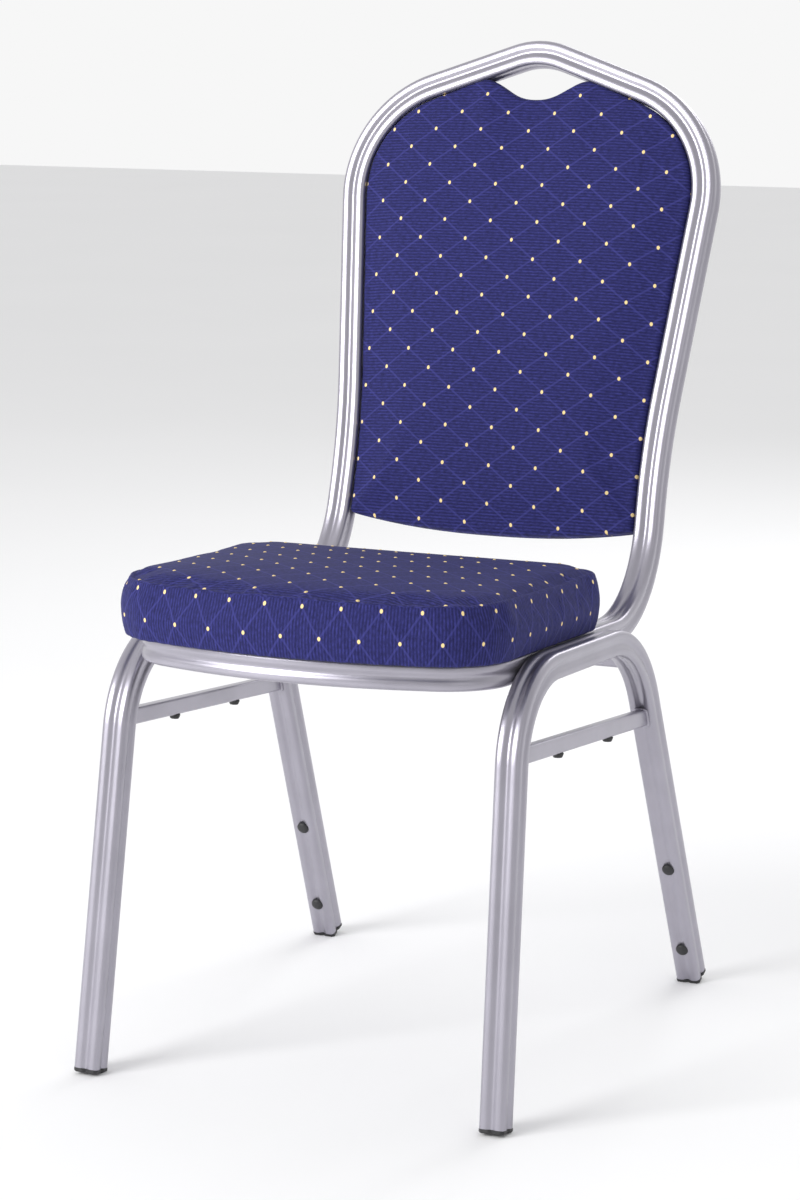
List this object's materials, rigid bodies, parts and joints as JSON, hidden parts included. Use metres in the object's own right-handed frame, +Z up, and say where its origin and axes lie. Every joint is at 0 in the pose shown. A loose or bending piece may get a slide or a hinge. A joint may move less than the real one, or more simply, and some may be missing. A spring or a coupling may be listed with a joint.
{
  "type": "stacking chair",
  "caption": "Armless stacking banquet chair with a bent grooved tube frame, a crown back with a hand hole, and a boxed seat cushion.",
  "frame": {"origin": "on the floor, below the middle of the chair's whole width and depth", "axes": "+Z up; the sitter faces -Y; +X is to the right of someone who looks at the chair from the front"},
  "size_m": [0.441, 0.6407, 0.9525],
  "materials": {
    "silver_paint": "silver powder coat on steel, semi-gloss",
    "black_plastic": "moulded black polypropylene",
    "navy_cloth": "ribbed navy jacquard with a diamond lattice and gold dots",
    "dust_cloth": "black spunbond dust cloth",
    "plywood": "raw plywood",
    "zinc_steel": "zinc-plated steel"
  },
  "bodies": {
    "root": {"back_frame_tube": "silver_paint", "seat_front_rail": "silver_paint", "seat_rail_corner_left": "silver_paint", "seat_rail_corner_right": "silver_paint", "leg_loop_left": "silver_paint", "leg_loop_right": "silver_paint", "stretcher_left": "silver_paint", "stretcher_right": "silver_paint", "rear_crossbar": "silver_paint", "seat_strap_front": "silver_paint", "seat_strap_rear": "silver_paint", "back_tab_lower_left": "silver_paint", "back_tab_lower_right": "silver_paint", "back_tab_upper_left": "silver_paint", "back_tab_upper_right": "silver_paint", "glide_front_left": "black_plastic", "glide_front_right": "black_plastic", "glide_rear_left": "black_plastic", "glide_rear_right": "black_plastic", "stack_bumper_front_left": "black_plastic", "stack_bumper_front_right": "black_plastic", "stack_bumper_rear_left": "black_plastic", "stack_bumper_rear_right": "black_plastic", "leg_button_lower_left": "black_plastic", "leg_button_lower_right": "black_plastic", "leg_button_upper_left": "black_plastic", "leg_button_upper_right": "black_plastic", "seat_cushion": "navy_cloth", "back_cushion": "navy_cloth", "back_rear_panel": "navy_cloth", "seat_dust_cover": "dust_cloth", "seat_board": "plywood", "back_board": "plywood", "seat_screw_front_left": "zinc_steel", "seat_screw_front_right": "zinc_steel", "seat_screw_rear_left": "zinc_steel", "seat_screw_rear_right": "zinc_steel", "back_screw_lower_left": "zinc_steel", "back_screw_lower_right": "zinc_steel", "back_screw_upper_left": "zinc_steel", "back_screw_upper_right": "zinc_steel"}
  },
  "joints": []
}
